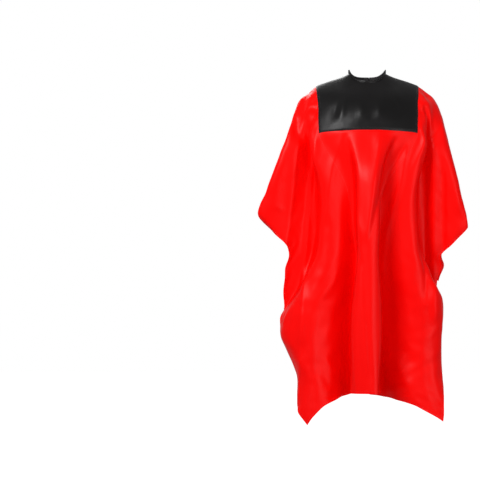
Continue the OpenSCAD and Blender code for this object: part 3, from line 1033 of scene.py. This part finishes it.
def band(name, r_in, r_out, start, end, steps, margin=0.0, pinch=0.0, round_end=0.0):
    """A band of cloth round the neck between two angles, counted at the centre back from the
    wearer's left, with rounded edges that lean in by pinch."""
    rings = []
    for k in range(steps + 1):
        angle = start + (end - start) * k / steps
        x, y = math.sin(angle), math.cos(angle)
        low, high = collar_edges(x * (r_in + r_out) / 2, y > 0, margin)
        if round_end:
            far = abs(angle - end) * r_out
            if far < round_end:
                trim = round_end - math.sqrt(max(round_end ** 2 - (round_end - far) ** 2, 0))
                low, high = low + trim, high - trim
        wall = r_out - r_in
        ring = []
        for share, edge in ((0, 0.9), (0.03, 0.45), (0.1, 0.12), (0.5, 0), (0.9, 0.12),
                            (0.97, 0.45), (1, 0.9)):
            inset = wall * 0.5 * edge
            ring.append((r_out - inset - pinch * edge, low + (high - low) * share))
        for share, edge in ((0.97, 0.45), (0.9, 0.12), (0.5, 0), (0.1, 0.12), (0.03, 0.45)):
            ring.append((r_in + wall * 0.5 * edge - pinch * edge, low + (high - low) * share))
        rings.append([(r * x, r * y, z) for r, z in ring])
    points, faces = loft(rings)
    mesh = mesh_of(name, points, faces)
    n = len(rings[0])
    cuts = [((start + (end - start) * (k // n) / steps) * r_out, points[k][2])
            for k in range(len(points))]
    cut_map_of(mesh, cuts)
    return put(name, mesh)


def outward(piece):
    """Turns a closed piece's faces outwards."""
    bpy.ops.object.select_all(action="DESELECT")
    bpy.context.view_layer.objects.active = piece
    piece.select_set(True)
    bpy.ops.object.mode_set(mode="EDIT")
    bpy.ops.mesh.select_all(action="SELECT")
    bpy.ops.mesh.normals_make_consistent(inside=False)
    bpy.ops.object.mode_set(mode="OBJECT")
    return piece


slit_angle_end = math.asin(slit_from / band_r)
slit_angle_start = math.asin(slit_to / band_r)
collar_facing = fabric("collar_facing", colour("#262427"), colour("#1e1d20"), (0.6, 0.75), 0.2,
                       0.5, 0.15)
stiff_interlining = fabric("stiff_interlining", colour("#e9e7e2"), colour("#dcdad4"), (0.8, 0.9),
                           0.0, 0.8, 0.1)
for name, r_in, r_out, material, node, wear, pinch in (
    ("collar_facing_band", neck_r, facing_r, collar_facing, "collar_inner", "collar_facing",
     -0.0002),
    ("collar_stiffener", facing_r, stiffener_r, stiff_interlining, "collar_interlining",
     "stiffener", 0.0),
    ("collar_band", stiffener_r, band_r, black_satin, "collar_outer", "collar_band", 0.0003),
):
    layer = outward(band(name, r_in, r_out, slit_angle_start, slit_angle_end + 2 * math.pi, 260,
                         margin=0.0012 if "stiffener" in name else 0.0, pinch=pinch))
    layer.data.materials.append(material)
    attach(layer, "cape")
    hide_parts(node)


def band_row(r, start, end, from_top=None, from_low=None, steps=150):
    """A row of stitches round the collar, this far from its upper or lower edge."""
    row = []
    for k in range(steps + 1):
        angle = start + (end - start) * k / steps
        x, y = math.sin(angle), math.cos(angle)
        low, high = collar_edges(x * neck_r, y > 0)
        row.append((r * x, r * y, high - from_top if from_top else low + from_low))
    return row


collar_start, collar_end = slit_angle_start + 0.04, slit_angle_end + 2 * math.pi - 0.04
stitched("collar_stitching", [
    band_row(band_r + 0.0001, collar_start, collar_end, from_top=0.0028),
    band_row(band_r + 0.0001, collar_start, collar_end, from_low=0.0022),
    band_row(neck_r - 0.0001, collar_start, collar_end, from_top=0.0028),
], black_thread, pitch=0.003, length=0.0023, radius=0.00025)


# ---------- the nape tab ----------
# An overlap tab sewn to the collar's end on the wearer's left, a satin cover over a lining.
# Its cover runs on from the root as one cloth.
tab_wall, tape_wall, tape_gap = 0.0009, 0.0012, 0.0004
tab_length, root_length, root_x, tab_margin = 0.062, 0.024, 0.012, 0.002
loop_r = band_r + tape_wall
hook_in_r = loop_r + tape_gap
hook_r = hook_in_r + tape_wall
tab_in_r = hook_r + tab_wall
tab_r = tab_in_r + tab_wall
root_angle = math.asin(root_x / tab_r)
root_end = root_angle + root_length / tab_r
tab_end = root_angle - tab_length / tab_r
tip_round = 0.007

tab_cover = outward(band("tab_cover", tab_in_r, tab_r, root_end, tab_end, 90, margin=tab_margin,
                         pinch=0.0003, round_end=tip_round))
tab_cover.data.materials.append(black_satin)
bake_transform(tab_cover)
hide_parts("tab_outer")

tab_lining = outward(band("tab_lining", hook_r, tab_in_r - 0.0001, root_angle - 0.012, tab_end, 60,
                          margin=tab_margin + 0.0004, round_end=tip_round))
tab_lining.data.materials.append(black_lining)
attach(tab_lining, "tab")
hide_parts("tab_inner")

tab_foot = outward(band("tab_foot", band_r, tab_in_r - 0.0001, root_end, root_angle + 0.01, 30,
                        margin=tab_margin + 0.0003))
tab_foot.data.materials.append(black_lining)
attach(tab_foot, "cape")
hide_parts("tab_root")


def tab_rows(inset):
    """The topstitching round the tab's free part, as one row that turns at its tip."""
    row = []
    steps = 60
    for sign in (1, -1):
        part = []
        for k in range(steps + 1):
            angle = root_angle - 0.06 + (tab_end + inset / tab_r - root_angle + 0.06) * k / steps
            x, y = math.sin(angle), math.cos(angle)
            low, high = collar_edges(x * tab_r, True, tab_margin)
            far = (angle - tab_end) * tab_r
            trim = tip_round - math.sqrt(max(tip_round ** 2 - max(tip_round - far, 0) ** 2, 0))
            z = high - inset - trim if sign > 0 else low + inset + trim
            part.append((tab_r * x * 1.0015, tab_r * y * 1.0015, z))
        row += part if sign > 0 else part[::-1]
    return row


stitched("tab_stitching", [tab_rows(0.0026)], black_thread, body="tab", pitch=0.003,
         length=0.0023, radius=0.00025)


# ---------- hook and loop tapes ----------
# Two nylon tapes: the tab carries the hooks, a woven ground with rows of small bent hooks, and
# the collar band carries the loops, a soft brushed nap.
tape_length, tape_height = 0.044, 0.020
tape_span = tape_length / loop_r
tape_middle = tab_end / 2 - math.radians(1)
tape_z = throat_top + nape_rise - nape_h / 2 + 0.002


def nylon(name, tint, rough, scale):
    """The ground of a tape, with painted shade that darkens it between its yarns."""
    made, shader = new_material(name, {"Roughness": rough, "Sheen Weight": 0.4})
    pile_and_gap_shade = texture(made, "ShaderNodeTexVoronoi", {"Scale": scale})
    # Painted shade: the tone falls to under half in the gaps between the yarns, where the bumps
    # sink.
    tinted(made, shader, pile_and_gap_shade.outputs["Distance"], (0, tint),
           (1, [c * 0.45 for c in tint[:3]] + [1]))
    made.node_tree.links.new(raised(made, pile_and_gap_shade.outputs["Distance"], 0.7, 0.0003),
                             shader.inputs["Normal"])
    return made


hook_nylon = nylon("hook_nylon", colour("#3a393d"), 0.45, 700)
loop_nylon = nylon("loop_nylon", colour("#3c3a3e"), 0.8, 1100)


def tape(name, r_in, r_out):
    """A flat tape bent round the collar, with its long edges rounded off."""
    steps = 48
    rings = []
    for k in range(steps + 1):
        angle = tape_middle - tape_span / 2 + tape_span * k / steps
        x, y = math.sin(angle), math.cos(angle)
        low, high = tape_z - tape_height / 2, tape_z + tape_height / 2
        soft = (r_out - r_in) * 0.35
        rings.append([(r * x, r * y, z) for r, z in (
            (r_in, low + soft), (r_in + soft, low), (r_out - soft, low), (r_out, low + soft),
            (r_out, high - soft), (r_out - soft, high), (r_in + soft, high), (r_in, high - soft))])
    points, faces = loft(rings)
    return outward(put(name, mesh_of(name, points, faces, smooth=False)))


def pile_points(r, pitch):
    """Angles and heights of a tape's hooks or loops."""
    rows = int((tape_height - 0.003) / pitch)
    columns = int((tape_length - 0.003) / pitch)
    for i in range(columns + 1):
        for j in range(rows + 1):
            angle = tape_middle + ((i - columns / 2) * pitch + (j % 2 - 0.5) * pitch / 2) / r
            yield angle, tape_z + (j - rows / 2) * pitch


def bent_wire(angle, z, r, inward, high, turn, closed):
    """A hook or a loop of nylon on a tape: a bent thread of five short sections."""
    out = Vector((math.sin(angle), math.cos(angle), 0)) * (-1 if inward else 1)
    side = Vector((math.cos(angle) * math.cos(turn), -math.sin(angle) * math.cos(turn),
                   math.sin(turn)))
    foot = Vector((math.sin(angle) * r, math.cos(angle) * r, z))
    path = ((0, -0.1), (0, 0.55), (0.18, 0.9), (0.5, 1.0), (0.72, 0.75)) if not closed else (
        (0, -0.1), (-0.1, 0.6), (0.3, 1.0), (0.75, 0.6), (0.6, -0.1))
    rings = []
    for across, up in path:
        centre = foot + side * across * high + out * up * high
        rings.append([tuple(centre + side.cross(out) * 0.00009 * math.cos(t)
                            + (side + out).normalized() * 0.00009 * math.sin(t))
                      for t in (0, 2.1, 4.2)])
    return loft(rings)


for name, node, r_in, r_out, ground, material, body, inward in (
    ("hook_tape_cloth", "hook_tape", hook_in_r + 0.0007, hook_r, hook_in_r + 0.0007, hook_nylon,
     "tab", True),
    ("loop_tape_cloth", "loop_tape", band_r, loop_r - 0.0004, loop_r - 0.0004, loop_nylon,
     "cape", False),
):
    strip = tape(name, r_in, r_out)
    strip.data.materials.append(material)
    points = [tuple(v.co) for v in strip.data.vertices]
    faces = [tuple(p.vertices) for p in strip.data.polygons]
    for n, (angle, z) in enumerate(pile_points(ground, 0.0014 if inward else 0.0011)):
        turn = 0.4 * math.sin(12.9 * n) + (0 if inward else 1.3 * math.sin(7.7 * n))
        more_points, more_faces = bent_wire(angle, z, ground, inward, 0.0006 if inward else 0.0004,
                                            turn, not inward)
        faces += [tuple(k + len(points) for k in f) for f in more_faces]
        points += more_points
    bpy.data.objects.remove(strip)
    strip = outward(put(name, mesh_of(name, points, faces, smooth=False), material))
    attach(strip, body)
    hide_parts(node)


# ---------- the care label ----------
# A blank woven label of cream satin, bowed a little towards its lower end and caught in the back
# neck seam.
label_low, label_high = (Vector(c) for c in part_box("care_label"))
label_cream = fabric("label_cream", colour("#f2efe6"), colour("#e9e5da"), (0.4, 0.55), 0.2, 0.6,
                     0.15)
label_points, label_cuts = [], []
label_columns, label_rows = 14, 12
for i in range(label_columns + 1):
    for j in range(label_rows + 1):
        across, down = i / label_columns, j / label_rows
        x = label_low.x + (label_high.x - label_low.x) * across
        z = label_high.z + (label_low.z - label_high.z) * down
        bow = 0.0012 * math.sin(math.pi * across) * down + 0.0015 * down * down
        label_points.append((x, label_low.y - bow, z))
        label_cuts.append((x, z))
label_faces = [(i * (label_rows + 1) + j, i * (label_rows + 1) + j + 1,
                (i + 1) * (label_rows + 1) + j + 1, (i + 1) * (label_rows + 1) + j)
               for i in range(label_columns) for j in range(label_rows)]
label_mesh = mesh_of("blank_label", label_points, label_faces)
cut_map_of(label_mesh, label_cuts)
label = walled(put("blank_label", label_mesh, label_cream), 0.0004, offset=0)
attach(label, "cape")
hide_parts("care_label")
